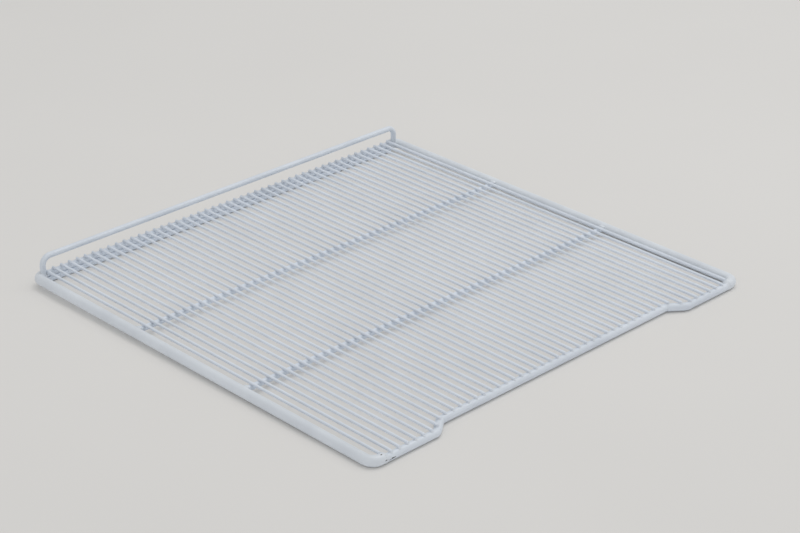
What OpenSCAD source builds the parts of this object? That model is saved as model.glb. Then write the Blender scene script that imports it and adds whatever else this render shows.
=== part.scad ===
// Refrigerator shelf: a welded grid of coated steel rods with a raised guard rail at the rear.
// The front edge, with its shallow notch, faces -Y and the guard rail stands at +Y.
// The origin lies at the bottom centre of the whole shelf. Units are millimetres.

/* [Shelf] */
// Width over the two side bars
shelf_width = 514; // [420:1:620]
// Depth over the bent ends of the side bars
shelf_depth = 505; // [420:1:600]

/* [Side bars] */
// Diameter of the side bars
side_bar_d = 10.6; // [9:0.1:13]
// Bend radius of the front corners, on the bar's axis
front_corner_r = 9.6; // [7:0.1:20]
// Bend radius of the rear corners, on the bar's axis
rear_corner_r = 8.7; // [7:0.1:20]
// Straight front end of a side bar past its bend, up to the butt weld
front_stub = 3.5; // [0.3:0.1:8]
// Straight rear end of a side bar past its bend, up to the butt weld
rear_stub = 0.5; // [0.3:0.1:8]

/* [Front bar] */
// Diameter of the front bar
front_bar_d = 8; // [6:0.1:8.6]
// Setback of the front bar's face behind the face of the corners
front_bar_step = 0.3; // [0:0.1:1.4]
// Length of the front bar's straight stretch in the notch
notch_flat = 310.4; // [220:0.2:340]
// Depth of the notch in the front edge
notch_depth = 13.1; // [8:0.1:20]
// Angle of the bar where it steps back into the notch
notch_angle = 38; // [30:1:60]
// Bend radius of the four notch bends, on the bar's axis
notch_bend_r = 6; // [5:0.1:11]

/* [Rear rods] */
// Diameter of the rear rod, which carries the ends of the grid wires
rear_rod_d = 6.6; // [5:0.1:8]
// Diameter of the lower rear rod, which the rear of the shelf rests on
lower_rod_d = 6.2; // [5:0.1:8]
// Lean of the lower rear rod towards the front, seen from the rear rod
lower_rod_lean = 10; // [0:1:20]

/* [Cross rods] */
// Diameter of the two cross rods under the grid wires
cross_rod_d = 5.8; // [4:0.1:7]
// Distance of the front cross rod from the front of the shelf
front_cross_rod_at = 178.3; // [80:0.1:190]
// Distance of the rear cross rod from the rear of the shelf
rear_cross_rod_at = 167.1; // [80:0.1:190]

/* [Grid wires] */
// Diameter of a grid wire
wire_d = 3; // [2:0.1:4]
// Number of grid wires
wire_count = 49; // [25:1:52]
// Distance between the axes of a side bar and the nearest grid wire
edge_gap = 11.7; // [10:0.1:20]
// Sideways shift of the whole grid between the side bars
grid_shift = -0.8; // [-1.2:0.1:1.2]
// Length of a grid wire past the axis of the front bar
wire_front_past = 0.4; // [0:0.1:3]
// Length of a grid wire past the axis of the rear rod
wire_rear_past = 0.2; // [0:0.1:3]

/* [Guard rail] */
// Height of the guard rail above the top of the side bars
guard_h = 19.6; // [14:0.1:60]
// Diameter of the guard rail
guard_d = 6.2; // [5:0.1:7]
// Clearance between its two posts and the nearest grid wires
post_clearance = 0.3; // [0.2:0.05:1]
// Distance of its axis from the rear of the shelf
guard_setback = 9.2; // [7:0.1:10]
// Bend radius of its two upper corners, on the rail's axis
guard_bend_r = 9.2; // [7:0.1:12]

/* [Welds] */
// Depth by which a weld lets one rod into another
weld_sink = 0.3; // [0.1:0.05:0.5]

/* [Hidden] */
$fn = 64;
coating = [0.80, 0.84, 0.89];
wire_coating = [0.84, 0.87, 0.91];

side_r = side_bar_d / 2;
front_r = front_bar_d / 2;
rear_r = rear_rod_d / 2;
lower_r = lower_rod_d / 2;
cross_r = cross_rod_d / 2;
wire_r = wire_d / 2;
guard_r = guard_d / 2;

// Heights of the axes, built up from the surface that the lower rear rod rests on
lower_z = lower_r;
rod_spacing = lower_r + rear_r - weld_sink;
rear_z = lower_z + rod_spacing * cos(lower_rod_lean);
side_z = rear_z;
wire_z = rear_z + rear_r - weld_sink + wire_r;
seat_z = wire_z - wire_r + weld_sink;
front_z = seat_z - front_r;
cross_z = seat_z - cross_r;
guard_z = side_z + side_r + guard_h - guard_r;

// Places of the axes across the shelf
side_x = shelf_width / 2 - side_r;
grid_w = 2 * (side_x - edge_gap);
wire_pitch = grid_w / (wire_count - 1);
guard_x = grid_w / 2 + abs(grid_shift) + wire_r + post_clearance + guard_r;

// Places of the axes along the shelf
front_face = -shelf_depth / 2;
rear_face = shelf_depth / 2;
front_stub_y = front_face + side_r;
rear_stub_y = rear_face - side_r;
front_bar_y = front_face + front_bar_step + front_r;
notch_y = front_bar_y + notch_depth;
rear_y = rear_stub_y;
lower_y = rear_y - rod_spacing * sin(lower_rod_lean);
front_cross_y = front_face + front_cross_rod_at;
rear_cross_y = rear_face - rear_cross_rod_at;
guard_y = rear_face - guard_setback;

// Ends of the side bars, where the front bar and the rear rod are welded on
front_seam_x = side_x - front_corner_r - front_stub;
rear_seam_x = side_x - rear_corner_r - rear_stub;

// The step of the front bar: a bend, a straight slant and an opposite bend.
// The slant is a hair thicker than the bends and laps over their ends.
lap_r = 0.06;
lap = 0.2;
bend_run = notch_bend_r * sin(notch_angle);
bend_rise = notch_bend_r * (1 - cos(notch_angle));
slant = (notch_depth - 2 * bend_rise) / sin(notch_angle);
slant_run = slant * cos(notch_angle);
step_run = 2 * bend_run + slant_run;
step_start = notch_flat / 2;
step_end = step_start + step_run;

// A guard post is drawn down to this height, before it is fitted to the bend that carries it.
// The bend is drawn past both its ends there, so that it covers the whole foot.
post_foot_z = side_z;
fit_overrun = 10;

function wire_x(k) = grid_shift - grid_w / 2 + (k - 1) * wire_pitch;
function wire_name(k) = str("grid_wire_", k < 10 ? "0" : "", k);

// Place of the front bar's axis at a distance t into its step
function step_y(t) =
    t <= bend_run ? notch_y - notch_bend_r + sqrt(notch_bend_r * notch_bend_r - t * t)
    : t <= bend_run + slant_run ? notch_y - bend_rise - (t - bend_run) * tan(notch_angle)
    : front_bar_y + notch_bend_r - sqrt(notch_bend_r * notch_bend_r - (step_run - t) * (step_run - t));

// Place of the front bar's axis at x
function front_axis_y(x) =
    abs(x) <= step_start ? notch_y
    : abs(x) >= step_end ? front_bar_y
    : step_y(abs(x) - step_start);

// A wire beside a corner stops at the side bar's inner face, the others lie over the front bar
corner_face_y = front_stub_y + sqrt(side_r * side_r - (wire_z - side_z) * (wire_z - side_z));
function wire_front_y(x) =
    abs(x) > front_seam_x - wire_r ? corner_face_y : front_axis_y(x) - wire_front_past;

// Round rod along X
module rod_x(x0, x1, r) {
    translate([x0, 0, 0]) rotate([0, 90, 0]) cylinder(h = x1 - x0, r = r);
}

// Round rod along Y
module rod_y(y0, y1, r) {
    translate([0, y1, 0]) rotate([90, 0, 0]) cylinder(h = y1 - y0, r = r);
}

// Bent rod in the XY plane: bend_r on its axis, turning about the origin
module bend(bend_r, r, from, turn) {
    rotate_extrude(start = from, angle = turn) translate([bend_r, 0]) circle(r = r);
}

// Side bar on the -X side: one thick bar, bent inwards at both ends
module side_bar_shape() {
    front_bend_y = front_stub_y + front_corner_r;
    rear_bend_y = rear_stub_y - rear_corner_r;
    translate([-side_x, 0, side_z]) rod_y(front_bend_y, rear_bend_y, side_r);
    translate([-side_x + front_corner_r, front_bend_y, side_z])
        bend(front_corner_r, side_r, 180, 90);
    translate([-side_x + rear_corner_r, rear_bend_y, side_z])
        bend(rear_corner_r, side_r, 90, 90);
    translate([0, front_stub_y, side_z])
        rod_x(-side_x + front_corner_r, -front_seam_x, side_r);
    translate([0, rear_stub_y, side_z])
        rod_x(-side_x + rear_corner_r, -rear_seam_x, side_r);
}

module both_side_bars() {
    side_bar_shape();
    mirror([1, 0, 0]) side_bar_shape();
}

module wire_shape(k) {
    x = wire_x(k);
    translate([x, 0, wire_z])
        rod_y(wire_front_y(x), rear_y + wire_rear_past, wire_r);
}

// Seats that the welded grid wires leave in the rods under them
module wire_seats() {
    for (k = [1 : wire_count]) wire_shape(k);
}

// Step and end of the front bar on the +X side
module front_bar_end() {
    translate([step_start, notch_y - notch_bend_r, front_z])
        bend(notch_bend_r, front_r, 90 - notch_angle, notch_angle);
    translate([step_start + step_run / 2, (notch_y + front_bar_y) / 2, front_z])
        rotate([0, 0, -notch_angle]) rod_x(-slant / 2 - lap, slant / 2 + lap, front_r + lap_r);
    translate([step_end, front_bar_y + notch_bend_r, front_z])
        bend(notch_bend_r, front_r, 270 - notch_angle, notch_angle);
    translate([0, front_bar_y, front_z]) rod_x(step_end, front_seam_x, front_r);
}

module rear_rod_shape() {
    translate([0, rear_y, rear_z]) rod_x(-rear_seam_x, rear_seam_x, rear_r);
}

module cross_rod(y) {
    color(coating) difference() {
        translate([0, y, cross_z]) rod_x(-side_x, side_x, cross_r);
        both_side_bars();
        wire_seats();
    }
}

module side_bar_left() {
    color(coating) side_bar_shape();
}

module side_bar_right() {
    color(coating) mirror([1, 0, 0]) side_bar_shape();
}

module front_bar() {
    color(coating) difference() {
        union() {
            translate([0, notch_y, front_z]) rod_x(-step_start, step_start, front_r);
            front_bar_end();
            mirror([1, 0, 0]) front_bar_end();
        }
        wire_seats();
    }
}

module rear_rod() {
    color(coating) difference() {
        rear_rod_shape();
        wire_seats();
    }
}

module lower_rear_rod() {
    color(coating) difference() {
        translate([0, lower_y, lower_z]) rod_x(-rear_seam_x, rear_seam_x, lower_r);
        rear_rod_shape();
    }
}

// Post of the guard rail on the +X side, fitted to the side bar's rear bend, with its upper bend
module guard_post() {
    bend_z = guard_z - guard_bend_r;
    difference() {
        translate([guard_x, guard_y, bend_z])
            rotate([180, 0, 0]) cylinder(h = bend_z - post_foot_z, r = guard_r);
        translate([side_x - rear_corner_r, rear_stub_y - rear_corner_r, side_z])
            bend(rear_corner_r, side_r, -fit_overrun, 90 + 2 * fit_overrun);
    }
    translate([guard_x - guard_bend_r, guard_y, bend_z])
        rotate([90, 0, 0]) bend(guard_bend_r, guard_r, 0, 90);
}

// One rod bent into a low arch, its feet welded to the rear corners
module guard_rail() {
    top_half = guard_x - guard_bend_r;
    color(coating) {
        guard_post();
        mirror([1, 0, 0]) guard_post();
        translate([0, guard_y, guard_z]) rod_x(-top_half, top_half, guard_r);
    }
}

// The outermost wires are fitted to the corners that they meet
module grid_wire(k) {
    color(wire_coating) {
        if (abs(wire_x(k)) > front_seam_x - wire_r) {
            difference() {
                wire_shape(k);
                both_side_bars();
            }
        } else {
            wire_shape(k);
        }
    }
}

side_bar_left();
side_bar_right();
front_bar();
rear_rod();
lower_rear_rod();
cross_rod(front_cross_y);  // front_cross_rod
cross_rod(rear_cross_y);  // rear_cross_rod
guard_rail();
for (k = [1 : wire_count]) {
    grid_wire(k);
}
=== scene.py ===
import math
import random

import bpy
from mathutils import Matrix, Vector

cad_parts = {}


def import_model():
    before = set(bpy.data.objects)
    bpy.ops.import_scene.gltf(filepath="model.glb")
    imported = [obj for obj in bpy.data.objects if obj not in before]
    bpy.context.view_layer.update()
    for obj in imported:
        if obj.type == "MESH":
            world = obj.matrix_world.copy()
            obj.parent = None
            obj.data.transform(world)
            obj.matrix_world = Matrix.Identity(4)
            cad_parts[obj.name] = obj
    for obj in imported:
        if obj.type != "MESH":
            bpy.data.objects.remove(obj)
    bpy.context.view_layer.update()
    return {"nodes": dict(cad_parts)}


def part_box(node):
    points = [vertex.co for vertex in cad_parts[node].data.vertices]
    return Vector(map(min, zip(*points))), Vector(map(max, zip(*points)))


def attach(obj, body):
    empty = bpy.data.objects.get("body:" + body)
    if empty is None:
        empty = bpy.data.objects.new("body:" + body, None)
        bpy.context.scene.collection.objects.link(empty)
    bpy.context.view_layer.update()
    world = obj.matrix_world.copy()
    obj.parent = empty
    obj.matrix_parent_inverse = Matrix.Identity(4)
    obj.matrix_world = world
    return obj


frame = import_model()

# Sizes in metres and the number of wires, as in the part
MM = 0.001
WIRE_COUNT = 49
WIRE_PAST_FRONT_AXIS = 0.4 * MM
SIDE_BAR_R = 5.3 * MM
REAR_CORNER_R = 8.7 * MM

# Camera, at the photograph's place and angle
CAMERA_AT = Vector((-1.3315, -1.3940, 0.9825))
CAMERA_HEADING = 44.13
CAMERA_DROP = 26.45
CAMERA_ROLL = 0.11
CAMERA_LENS = 96.16
SENSOR_WIDTH = 36.0
CLIP_NEAR = 0.01
CLIP_FAR = 50.0

# Light. To camera, glossy and transmission rays the floor glows with its own colour by the share
# SHADOW_LIFT, which lightens the shadows. The share falls within CONTACT_REACH of the shelf.
LAMP_DISTANCE = 2.5
TOP_LAMP = {"azimuth": -10.0, "elevation": 75.0, "size": 1.6, "power": 18.0}
SIDE_LAMP = {"azimuth": -15.0, "elevation": 45.0, "size": 1.0, "power": 6.0}
FILL_LAMP = {"azimuth": -160.0, "elevation": 22.0, "size": 1.6, "power": 4.4}
WORLD_LIGHT = 0.61
SHADOW_LIFT = 0.48
CONTACT_REACH = 9.0 * MM

# Colours, linear. FLOOR is what camera, glossy and transmission rays see of the floor and the background.
# FLOOR_BOUNCE is the floor for all other rays. It is much paler and lights the shelf from below.
SIDE_COATING = (0.655, 0.695, 0.740)
SIDE_SHADE = (0.600, 0.638, 0.685)
ROD_COATING = (0.640, 0.688, 0.748)
ROD_SHADE = (0.580, 0.628, 0.692)
# The wire coating is the bars' coating painted paler. This painted light lifts the wires and the rods
# under the grid where the grid's own shade falls.
WIRE_COATING_PAINTED_LIGHT = (0.690, 0.742, 0.815)
WIRE_DARK_MOTTLE_PAINTED_LIGHT = (0.635, 0.685, 0.755)
BARE_METAL = (0.030, 0.029, 0.030)
BARE_METAL_LIGHT = (0.075, 0.072, 0.072)
FLOOR = (0.682, 0.672, 0.655)
FLOOR_BOUNCE = (0.94, 0.94, 0.94)
WHITE = (1.0, 1.0, 1.0)

# Materials: noise, with its scale in features per metre, the spans of it that are mapped, and finishes
MOTTLE = {"scale": 26.0, "detail": 4.0}
SHEEN = {"scale": 90.0, "detail": 3.0}
PEEL = {"scale": 900.0, "detail": 2.0}
GRIME = {"scale": 700.0, "detail": 3.0}
TINT = {"scale": 3.0, "detail": 2.0}
MOTTLE_SPAN = (0.30, 0.62)
GRIME_SPAN = (0.35, 0.65)
EVEN_SPAN = (0.3, 0.7)
SMOOTHER = 0.07
ROUGHER = 0.09
PEEL_HEIGHT = 0.12 * MM
GRIME_ROUGHNESS = (0.62, 0.85)
FLOOR_ROUGHNESS = 0.9
FLOOR_SPECULAR = 0.1
FLOOR_TINT = 0.985
FLOOR_REACH = 6.0

# Welds under the grid wires: half sizes across and along as shares of the wire's and the rod's radius,
# half heights and shifts in millimetres
GRID_WELD_ACROSS = (1.18, 1.34)
GRID_WELD_ALONG = (0.58, 0.72)
GRID_WELD_HEIGHT = (0.75, 0.95)
GRID_WELD_ROD_R = 3.2 * MM
GRID_WELD_SHIFT = (0.12, 0.20)
GRID_WELD_RAISE = 0.1 * MM
GRID_WELD_WOBBLE = 0.05
REAR_WELD_SETBACK = 0.3 * MM

# Rounded ends of the wires
TIP_LENGTH = 0.75 * MM
TIP_SWELL = 1.003
TIP_ROWS = 6
TIP_SIDES = 20

# Butt welds: a collar on the thinner bar and, at the front, a low bead round the seam
COLLAR_ROWS = 8
COLLAR_SIDES = 32
COLLAR_LAP = 0.4 * MM
COLLAR_RIPPLE = 0.006
FRONT_COLLAR = 3.2 * MM
REAR_COLLAR = 3.0 * MM
THICK_SWELL = 1.004
THIN_SWELL = 1.01
SEAM_STEPS = 40
SEAM_R = 0.65 * MM
SEAM_SINK = 0.40 * MM
SEAM_BACK = 0.2 * MM
SEAM_WOBBLE = 0.12

# Beads and lumps of weld on the side bars
BEAD_STEPS = 36
BEAD_WOBBLE = 0.06
CROSS_BEAD_R = 0.95 * MM
GUARD_BEAD_R = 1.0 * MM
GUARD_BEAD_DROP = 0.3
LUMP_OUT = 0.90
LUMP_UP = 0.80
LUMP_ACROSS = 2.6 * MM
LUMP_ALONG = 1.25
LUMP_HEIGHT = 1.9 * MM
LUMP_WOBBLE = 0.03

# Drips of the coating under the left side bar
DRIPS_AT = (91.6 * MM, -69.0 * MM)
DRIP_HALF = (1.5 * MM, 3.2 * MM, 1.2 * MM)
DRIP_RAISE = 0.1 * MM
DRIP_WOBBLE = 0.06

# Chips in the coating at the near left corner, where the front bar is welded on. Each one is given by
# its place along the bar from the seam, its turn from the bar's top towards the front, in degrees, and
# its half sizes along and round the bar.
STUB_CHIPS = [
    (-0.7 * MM, 86.0, 1.7 * MM, 0.62 * MM),
    (-3.4 * MM, 11.0, 1.0 * MM, 0.55 * MM),
]
BAR_CHIPS = [
    (3.5 * MM, 95.0, 3.6 * MM, 0.22 * MM),
    (7.4 * MM, 90.0, 2.7 * MM, 0.60 * MM),
    (9.9 * MM, -24.0, 0.8 * MM, 0.40 * MM),
]
CHIP_DEPTH = 0.16 * MM
CHIP_SIDES = 16
CHIP_ROWS = ((-CHIP_DEPTH, 0.8), (0.0, 1.0), (0.5 * CHIP_DEPTH, 0.75))
CHIP_LOBES = 0.22
CHIP_NICKS = 0.10

rng = random.Random(7)


def lerp(a, b, t):
    return a + (b - a) * t


def turns(count):
    """Angles of evenly spaced steps round a circle."""
    return [2 * math.pi * j / count for j in range(count)]


def middle(node):
    low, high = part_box(node)
    return (low + high) / 2


def half_size(node):
    low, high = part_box(node)
    return (high - low) / 2


# Materials
def node_material(name):
    material = bpy.data.materials.new(name)
    material.use_nodes = True
    tree = material.node_tree
    return material, tree, tree.nodes["Principled BSDF"]


def add_noise(tree, scale, detail):
    """Noise in the object's own coordinates; scale is in features per metre."""
    place = tree.nodes.new("ShaderNodeTexCoord")
    noise = tree.nodes.new("ShaderNodeTexNoise")
    noise.inputs["Scale"].default_value = scale
    noise.inputs["Detail"].default_value = detail
    tree.links.new(place.outputs["Object"], noise.inputs["Vector"])
    return noise.outputs["Fac"]


def ramp(tree, factor, low, high, span):
    """Maps the span of a factor to the way from one colour to another."""
    node = tree.nodes.new("ShaderNodeValToRGB")
    node.color_ramp.elements[0].position = span[0]
    node.color_ramp.elements[1].position = span[1]
    node.color_ramp.elements[0].color = low
    node.color_ramp.elements[1].color = high
    tree.links.new(factor, node.inputs["Fac"])
    return node.outputs["Color"]


def grey(value):
    return (value, value, value, 1.0)


def seen_directly(tree):
    """1 for camera, glossy and transmission rays, and 0 for all others."""
    path = tree.nodes.new("ShaderNodeLightPath")
    seen = path.outputs["Is Camera Ray"]
    for kind in ("Is Glossy Ray", "Is Transmission Ray"):
        either = tree.nodes.new("ShaderNodeMath")
        either.operation = "MAXIMUM"
        tree.links.new(seen, either.inputs[0])
        tree.links.new(path.outputs[kind], either.inputs[1])
        seen = either.outputs["Value"]
    return seen


def coating(name, base, shade, rough, peel):
    """Coated steel: mottled pale colour, uneven gloss and a fine orange peel."""
    material, tree, shader = node_material(name)
    colour = ramp(tree, add_noise(tree, **MOTTLE), (*shade, 1.0), (*base, 1.0), MOTTLE_SPAN)
    tree.links.new(colour, shader.inputs["Base Color"])
    smooth, dull = grey(rough - SMOOTHER), grey(rough + ROUGHER)
    gloss = ramp(tree, add_noise(tree, **SHEEN), smooth, dull, EVEN_SPAN)
    tree.links.new(gloss, shader.inputs["Roughness"])
    bump = tree.nodes.new("ShaderNodeBump")
    bump.inputs["Strength"].default_value = peel
    bump.inputs["Distance"].default_value = PEEL_HEIGHT
    tree.links.new(add_noise(tree, **PEEL), bump.inputs["Height"])
    tree.links.new(bump.outputs["Normal"], shader.inputs["Normal"])
    return material


side_material = coating("side_bar_coating", SIDE_COATING, SIDE_SHADE, rough=0.36, peel=0.35)
rod_material = coating("rod_coating", ROD_COATING, ROD_SHADE, rough=0.38, peel=0.35)
# Painted light: the wires and the rods under them get the same coating as the bars, painted paler against
# the shade of the grid.
wire_painted_light_material = coating("wire_coating", WIRE_COATING_PAINTED_LIGHT, WIRE_DARK_MOTTLE_PAINTED_LIGHT, rough=0.40, peel=0.25)
weld_material = coating("weld_coating", SIDE_COATING, SIDE_SHADE, rough=0.42, peel=0.6)


def bare_metal():
    """Dark, dull steel where a chip of the coating is gone."""
    material, tree, shader = node_material("bare_metal")
    grime = add_noise(tree, **GRIME)
    colour = ramp(tree, grime, (*BARE_METAL, 1.0), (*BARE_METAL_LIGHT, 1.0), GRIME_SPAN)
    tree.links.new(colour, shader.inputs["Base Color"])
    dullness = ramp(tree, grime, grey(GRIME_ROUGHNESS[0]), grey(GRIME_ROUGHNESS[1]), EVEN_SPAN)
    tree.links.new(dullness, shader.inputs["Roughness"])
    return material


chip_material = bare_metal()


def dress_cad():
    for name, node in frame["nodes"].items():
        if name.startswith("side_bar"):
            material = side_material
        elif name in ("front_bar", "guard_rail"):
            material = rod_material
        else:
            # The grid wires and all rods under them take the paler coating, which is painted light.
            material = wire_painted_light_material
        for slot in node.material_slots:
            slot.material = material


dress_cad()


# Mesh helpers
def new_piece(name, vertices, faces, material):
    mesh = bpy.data.meshes.new(name)
    mesh.from_pydata(vertices, [], faces)
    mesh.validate()
    for polygon in mesh.polygons:
        polygon.use_smooth = True
    mesh.materials.append(material)
    piece = bpy.data.objects.new(name, mesh)
    bpy.context.scene.collection.objects.link(piece)
    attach(piece, "root")
    return piece


def add_rings(vertices, faces, rings):
    """Joins rings of points into a skin, with a fan at each end."""
    start = len(vertices)
    count = len(rings[0])
    for ring in rings:
        vertices.extend(ring)
    for i in range(len(rings) - 1):
        for j in range(count):
            a = start + i * count + j
            b = start + i * count + (j + 1) % count
            faces.append((a, b, b + count, a + count))
    last = start + (len(rings) - 1) * count
    for first, ring, order in ((start, rings[0], -1), (last, rings[-1], 1)):
        centre = len(vertices)
        vertices.append(sum(ring, Vector()) / count)
        for j in range(count):
            a, b = first + j, first + (j + 1) % count
            faces.append((a, b, centre) if order > 0 else (b, a, centre))


def add_blob(vertices, faces, centre, half, wobble, sides=12, rows=6):
    """A closed ellipsoid with half sizes along X, Y and Z."""
    rings = []
    for i in range(1, rows):
        polar = math.pi * i / rows
        ring = []
        for turn in turns(sides):
            grow = 1 + wobble * rng.uniform(-1, 1)
            ring.append(centre + Vector((
                half[0] * math.sin(polar) * math.cos(turn) * grow,
                half[1] * math.sin(polar) * math.sin(turn) * grow,
                half[2] * math.cos(polar),
            )))
        rings.append(ring[::-1])
    add_rings(vertices, faces, rings)


def add_bead(vertices, faces, path, radius, wobble, sides=10):
    """A closed weld bead: a round section swept along a closed path that runs once round its middle."""
    count = len(path)
    centre = sum(path, Vector()) / count
    rings = []
    for i in range(count):
        ahead = (path[(i + 1) % count] - path[i - 1]).normalized()
        outward = path[i] - centre
        side = (outward - ahead * outward.dot(ahead)).normalized()
        up = side.cross(ahead)
        r = radius * (1 + wobble * rng.uniform(-1, 1))
        rings.append([
            path[i] + side * r * math.cos(turn) + up * r * math.sin(turn)
            for turn in turns(sides)
        ])
    start = len(vertices)
    for ring in rings:
        vertices.extend(ring)
    for i in range(count):
        for j in range(sides):
            a = start + i * sides + j
            b = start + i * sides + (j + 1) % sides
            c = start + (i + 1) % count * sides + (j + 1) % sides
            d = start + (i + 1) % count * sides + j
            faces.append((a, d, c, b))


wires = [f"grid_wire_{k:02d}" for k in range(1, WIRE_COUNT + 1)]
wire_r = half_size(wires[0]).x


# Welds between the grid wires and the rods under them
def grid_welds():
    vertices, faces = [], []
    for wire in wires:
        low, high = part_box(wire)
        x = (low.x + high.x) / 2
        crossings = [
            (low.y + WIRE_PAST_FRONT_AXIS, half_size("front_bar").z),
            (middle("front_cross_rod").y, half_size("front_cross_rod").z),
            (middle("rear_cross_rod").y, half_size("rear_cross_rod").z),
            (middle("rear_rod").y - REAR_WELD_SETBACK, half_size("rear_rod").z),
        ]
        for y, rod_r in crossings:
            half = Vector((
                wire_r * rng.uniform(*GRID_WELD_ACROSS),
                min(rod_r, GRID_WELD_ROD_R) * rng.uniform(*GRID_WELD_ALONG),
                rng.uniform(*GRID_WELD_HEIGHT) * MM,
            ))
            off_x, off_y = (rng.uniform(-reach, reach) * MM for reach in GRID_WELD_SHIFT)
            place = Vector((x + off_x, y + off_y, low.z + GRID_WELD_RAISE))
            add_blob(vertices, faces, place, half, GRID_WELD_WOBBLE)
    return new_piece("grid_welds", vertices, faces, weld_material)


# Rounded ends that the coating gives the wires
def wire_tips():
    vertices, faces = [], []
    for wire in wires:
        low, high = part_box(wire)
        x, z = (low.x + high.x) / 2, (low.z + high.z) / 2
        for y, ahead in ((low.y, -1), (high.y, 1)):
            rings = []
            for i in range(TIP_ROWS):
                t = math.pi / 2 * i / TIP_ROWS
                r = wire_r * math.cos(t) * TIP_SWELL
                rings.append([
                    Vector((
                        x + r * math.cos(turn),
                        y + ahead * TIP_LENGTH * math.sin(t),
                        z + r * math.sin(turn),
                    ))
                    for turn in turns(TIP_SIDES)
                ][::-ahead])
            add_rings(vertices, faces, rings)
    return new_piece("wire_tips", vertices, faces, wire_painted_light_material)


# Butt welds between the side bars and the thinner front bar and rear rod
def add_collar(vertices, faces, x, inward, outer, inner, length):
    """A shoulder from the thick bar's end to the thinner bar. outer and inner are (y, z, radius)."""
    rings = []
    for i in range(-1, COLLAR_ROWS + 1):
        t = max(i, 0) / COLLAR_ROWS
        fall = t * t * (3 - 2 * t)
        y = lerp(outer[0], inner[0], fall)
        z = lerp(outer[1], inner[1], fall)
        r = lerp(outer[2], inner[2], fall)
        along = -COLLAR_LAP if i < 0 else length * t
        ripple = 1 + COLLAR_RIPPLE * rng.uniform(-1, 1)
        rings.append([
            Vector((
                x + inward * along,
                y + r * ripple * math.cos(turn),
                z + r * ripple * math.sin(turn),
            ))
            for turn in turns(COLLAR_SIDES)
        ][::inward])
    add_rings(vertices, faces, rings)


def add_seam(vertices, faces, x, stub):
    """A low bead round the end of the thick bar. stub starts with its y and z."""
    r = SIDE_BAR_R - SEAM_SINK
    path = [
        Vector((x, stub[0] + r * math.cos(turn), stub[1] + r * math.sin(turn)))
        for turn in turns(SEAM_STEPS)
    ]
    add_bead(vertices, faces, path, SEAM_R, SEAM_WOBBLE)


def butt_welds():
    vertices, faces = [], []
    front_low, front_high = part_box("front_bar")
    front_r = half_size("front_bar").z
    rear_low, rear_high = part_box("rear_rod")
    rear_r = half_size("rear_rod").z
    side = middle("side_bar_left")
    side_low, side_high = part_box("side_bar_left")
    front_bar = (front_low.y + front_r, (front_low.z + front_high.z) / 2, front_r * THIN_SWELL)
    front_stub = (side_low.y + SIDE_BAR_R, side.z, SIDE_BAR_R * THICK_SWELL)
    rear_rod = (middle("rear_rod").y, middle("rear_rod").z, rear_r * THIN_SWELL)
    rear_stub = (side_high.y - SIDE_BAR_R, side.z, SIDE_BAR_R * THICK_SWELL)
    for x, inward in ((front_low.x, 1), (front_high.x, -1)):
        add_collar(vertices, faces, x, inward, front_stub, front_bar, FRONT_COLLAR)
        add_seam(vertices, faces, x - inward * SEAM_BACK, front_stub)
    for x, inward in ((rear_low.x, 1), (rear_high.x, -1)):
        add_collar(vertices, faces, x, inward, rear_stub, rear_rod, REAR_COLLAR)
    return new_piece("butt_welds", vertices, faces, weld_material)


# Weld beads, with a lump on top, where the cross rods meet the side bars
def cross_rod_welds():
    vertices, faces = [], []
    side = middle("side_bar_left")
    side_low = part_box("side_bar_left")[0]
    side_x = -side_low.x - SIDE_BAR_R
    for rod in ("front_cross_rod", "rear_cross_rod"):
        at = middle(rod)
        r = half_size(rod).z
        for hand in (-1, 1):
            path = []
            for turn in turns(BEAD_STEPS):
                y = at.y + r * math.cos(turn)
                z = at.z + r * math.sin(turn)
                rise = z - side.z
                x = side_x - math.sqrt(max(SIDE_BAR_R ** 2 - rise ** 2, 0.0))
                path.append(Vector((hand * x, y, z)))
            add_bead(vertices, faces, path, CROSS_BEAD_R, BEAD_WOBBLE)
            lump = Vector((hand * (side_x - LUMP_OUT * SIDE_BAR_R), at.y, at.z + LUMP_UP * r))
            half = (LUMP_ACROSS, LUMP_ALONG * r, LUMP_HEIGHT)
            add_blob(vertices, faces, lump, half, LUMP_WOBBLE, sides=24, rows=12)
    return new_piece("cross_rod_welds", vertices, faces, weld_material)


# Drips of the coating under the left side bar
def coating_drips():
    vertices, faces = [], []
    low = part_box("side_bar_left")[0]
    for y in DRIPS_AT:
        place = Vector((low.x + SIDE_BAR_R, y, low.z + DRIP_RAISE))
        add_blob(vertices, faces, place, DRIP_HALF, DRIP_WOBBLE, sides=20, rows=10)
    return new_piece("coating_drips", vertices, faces, side_material)


# Weld beads round the feet of the guard rail
def guard_welds():
    vertices, faces = [], []
    side = middle("side_bar_left")
    side_low, side_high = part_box("side_bar_left")
    low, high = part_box("guard_rail")
    r = half_size("guard_rail").y
    post = Vector((low.x + r, (low.y + high.y) / 2, 0))
    bend = Vector((side_low.x + SIDE_BAR_R + REAR_CORNER_R, side_high.y - SIDE_BAR_R - REAR_CORNER_R, 0))
    for hand in (1, -1):
        path = []
        for turn in turns(BEAD_STEPS):
            x = post.x + r * math.cos(turn)
            y = post.y + r * math.sin(turn)
            off = abs((Vector((x, y, 0)) - bend).length - REAR_CORNER_R)
            z = side.z + math.sqrt(max(SIDE_BAR_R ** 2 - off ** 2, (GUARD_BEAD_DROP * SIDE_BAR_R) ** 2))
            path.append(Vector((hand * x, y, z)))
        add_bead(vertices, faces, path, GUARD_BEAD_R, BEAD_WOBBLE)
    return new_piece("guard_welds", vertices, faces, weld_material)


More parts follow.
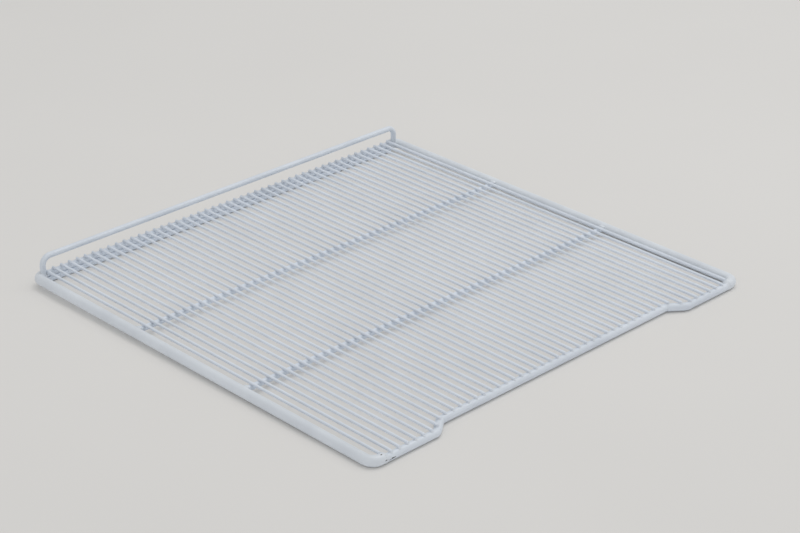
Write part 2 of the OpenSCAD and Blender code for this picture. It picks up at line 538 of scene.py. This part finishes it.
# Chips in the coating
def add_chip(vertices, faces, axis, radius, x, turn, along, around):
    """A thin closed flake with a ragged edge that follows the bar's round surface. axis is (y, z)."""
    rings = []
    for level, size in CHIP_ROWS:
        ring = []
        for angle in turns(CHIP_SIDES):
            ragged = CHIP_LOBES * math.sin(3 * angle + x / MM) + CHIP_NICKS * math.sin(5 * angle)
            reach = size * (1 + ragged)
            at = math.radians(turn) + reach * around * math.sin(angle) / radius
            r = radius + level
            ring.append(Vector((
                x + reach * along * math.cos(angle),
                axis[0] - r * math.sin(at),
                axis[1] + r * math.cos(at),
            )))
        rings.append(ring[::-1])
    add_rings(vertices, faces, rings)


def coating_chips():
    vertices, faces = [], []
    low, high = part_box("front_bar")
    rod_r = (high.z - low.z) / 2
    bar_axis = (low.y + rod_r, (low.z + high.z) / 2)
    side_low, side_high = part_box("side_bar_left")
    stub_axis = (side_low.y + SIDE_BAR_R, (side_low.z + side_high.z) / 2)
    for offset, turn, along, around in STUB_CHIPS:
        add_chip(vertices, faces, stub_axis, SIDE_BAR_R, low.x + offset, turn, along, around)
    for offset, turn, along, around in BAR_CHIPS:
        add_chip(vertices, faces, bar_axis, rod_r, low.x + offset, turn, along, around)
    return new_piece("coating_chips", vertices, faces, chip_material)


grid_welds()
wire_tips()
butt_welds()
cross_rod_welds()
guard_welds()
coating_drips()
coating_chips()


# Floor, tilted a little because the lower rear rod holds the rear of the shelf up
def floor():
    rear_y = middle("lower_rear_rod").y
    side_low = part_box("side_bar_left")[0]
    front_y = side_low.y + SIDE_BAR_R
    slope = -side_low.z / (rear_y - front_y)
    corners = [(-1, -1), (1, -1), (1, 1), (-1, 1)]
    places = [(FLOOR_REACH * x, FLOOR_REACH * y) for x, y in corners]
    vertices = [Vector((x, y, slope * (y - rear_y))) for x, y in places]
    mesh = bpy.data.meshes.new("floor")
    mesh.from_pydata(vertices, [], [(0, 1, 2, 3)])
    material, tree, shader = node_material("floor")
    darker = tuple(c * FLOOR_TINT for c in FLOOR)
    colour = ramp(tree, add_noise(tree, **TINT), (*darker, 1.0), (*FLOOR, 1.0), EVEN_SPAN)
    seen = seen_directly(tree)
    bounce = tree.nodes.new("ShaderNodeMix")
    bounce.data_type = "RGBA"
    tree.links.new(seen, bounce.inputs["Factor"])
    bounce.inputs["A"].default_value = (*FLOOR_BOUNCE, 1.0)
    tree.links.new(colour, bounce.inputs["B"])
    tree.links.new(bounce.outputs["Result"], shader.inputs["Base Color"])
    shader.inputs["Roughness"].default_value = FLOOR_ROUGHNESS
    shader.inputs["Specular IOR Level"].default_value = FLOOR_SPECULAR
    glow = tree.nodes.new("ShaderNodeEmission")
    tree.links.new(colour, glow.inputs["Color"])
    contact = tree.nodes.new("ShaderNodeAmbientOcclusion")
    contact.inputs["Distance"].default_value = CONTACT_REACH
    lift = tree.nodes.new("ShaderNodeMath")
    lift.operation = "MULTIPLY"
    lift.inputs[1].default_value = SHADOW_LIFT
    tree.links.new(contact.outputs["AO"], lift.inputs[0])
    share = tree.nodes.new("ShaderNodeMath")
    share.operation = "MULTIPLY"
    tree.links.new(seen, share.inputs[0])
    tree.links.new(lift.outputs["Value"], share.inputs[1])
    mix = tree.nodes.new("ShaderNodeMixShader")
    tree.links.new(share.outputs["Value"], mix.inputs["Fac"])
    tree.links.new(shader.outputs["BSDF"], mix.inputs[1])
    tree.links.new(glow.outputs["Emission"], mix.inputs[2])
    tree.links.new(mix.outputs["Shader"], tree.nodes["Material Output"].inputs["Surface"])
    mesh.materials.append(material)
    plane = bpy.data.objects.new("floor", mesh)
    bpy.context.scene.collection.objects.link(plane)


def world():
    background = bpy.data.worlds.new("studio")
    background.use_nodes = True
    tree = background.node_tree
    light = tree.nodes["Background"]
    light.inputs["Color"].default_value = (*WHITE, 1.0)
    light.inputs["Strength"].default_value = WORLD_LIGHT
    seen = tree.nodes.new("ShaderNodeBackground")
    seen.inputs["Color"].default_value = (*FLOOR, 1.0)
    mix = tree.nodes.new("ShaderNodeMixShader")
    tree.links.new(seen_directly(tree), mix.inputs["Fac"])
    tree.links.new(light.outputs["Background"], mix.inputs[1])
    tree.links.new(seen.outputs["Background"], mix.inputs[2])
    tree.links.new(mix.outputs["Shader"], tree.nodes["World Output"].inputs["Surface"])
    bpy.context.scene.world = background


def area_lamp(name, azimuth, elevation, size, power):
    """A square lamp aimed at the origin. Its direction is in degrees from +X and above the horizontal."""
    lamp = bpy.data.lights.new(name, "AREA")
    lamp.shape = "SQUARE"
    lamp.size = size
    lamp.energy = power
    azimuth, elevation = math.radians(azimuth), math.radians(elevation)
    towards = Vector((
        math.cos(azimuth) * math.cos(elevation),
        math.sin(azimuth) * math.cos(elevation),
        math.sin(elevation),
    ))
    item = bpy.data.objects.new(name, lamp)
    item.location = towards * LAMP_DISTANCE
    item.rotation_euler = (-towards).to_track_quat("-Z", "Y").to_euler()
    bpy.context.scene.collection.objects.link(item)


def camera():
    data = bpy.data.cameras.new("camera")
    data.sensor_width = SENSOR_WIDTH
    data.lens = CAMERA_LENS
    data.clip_start = CLIP_NEAR
    data.clip_end = CLIP_FAR
    item = bpy.data.objects.new("camera", data)
    heading, drop = math.radians(CAMERA_HEADING), math.radians(CAMERA_DROP)
    ahead = Vector((
        math.sin(heading) * math.cos(drop),
        math.cos(heading) * math.cos(drop),
        -math.sin(drop),
    ))
    aim = ahead.to_track_quat("-Z", "Y").to_matrix().to_4x4()
    roll = Matrix.Rotation(math.radians(CAMERA_ROLL), 4, "Z")
    item.matrix_world = Matrix.Translation(CAMERA_AT) @ aim @ roll
    bpy.context.scene.collection.objects.link(item)
    bpy.context.scene.camera = item


floor()
world()
area_lamp("top_lamp", **TOP_LAMP)
area_lamp("side_lamp", **SIDE_LAMP)
area_lamp("fill_lamp", **FILL_LAMP)
camera()
bpy.context.scene.view_settings.view_transform = "Standard"
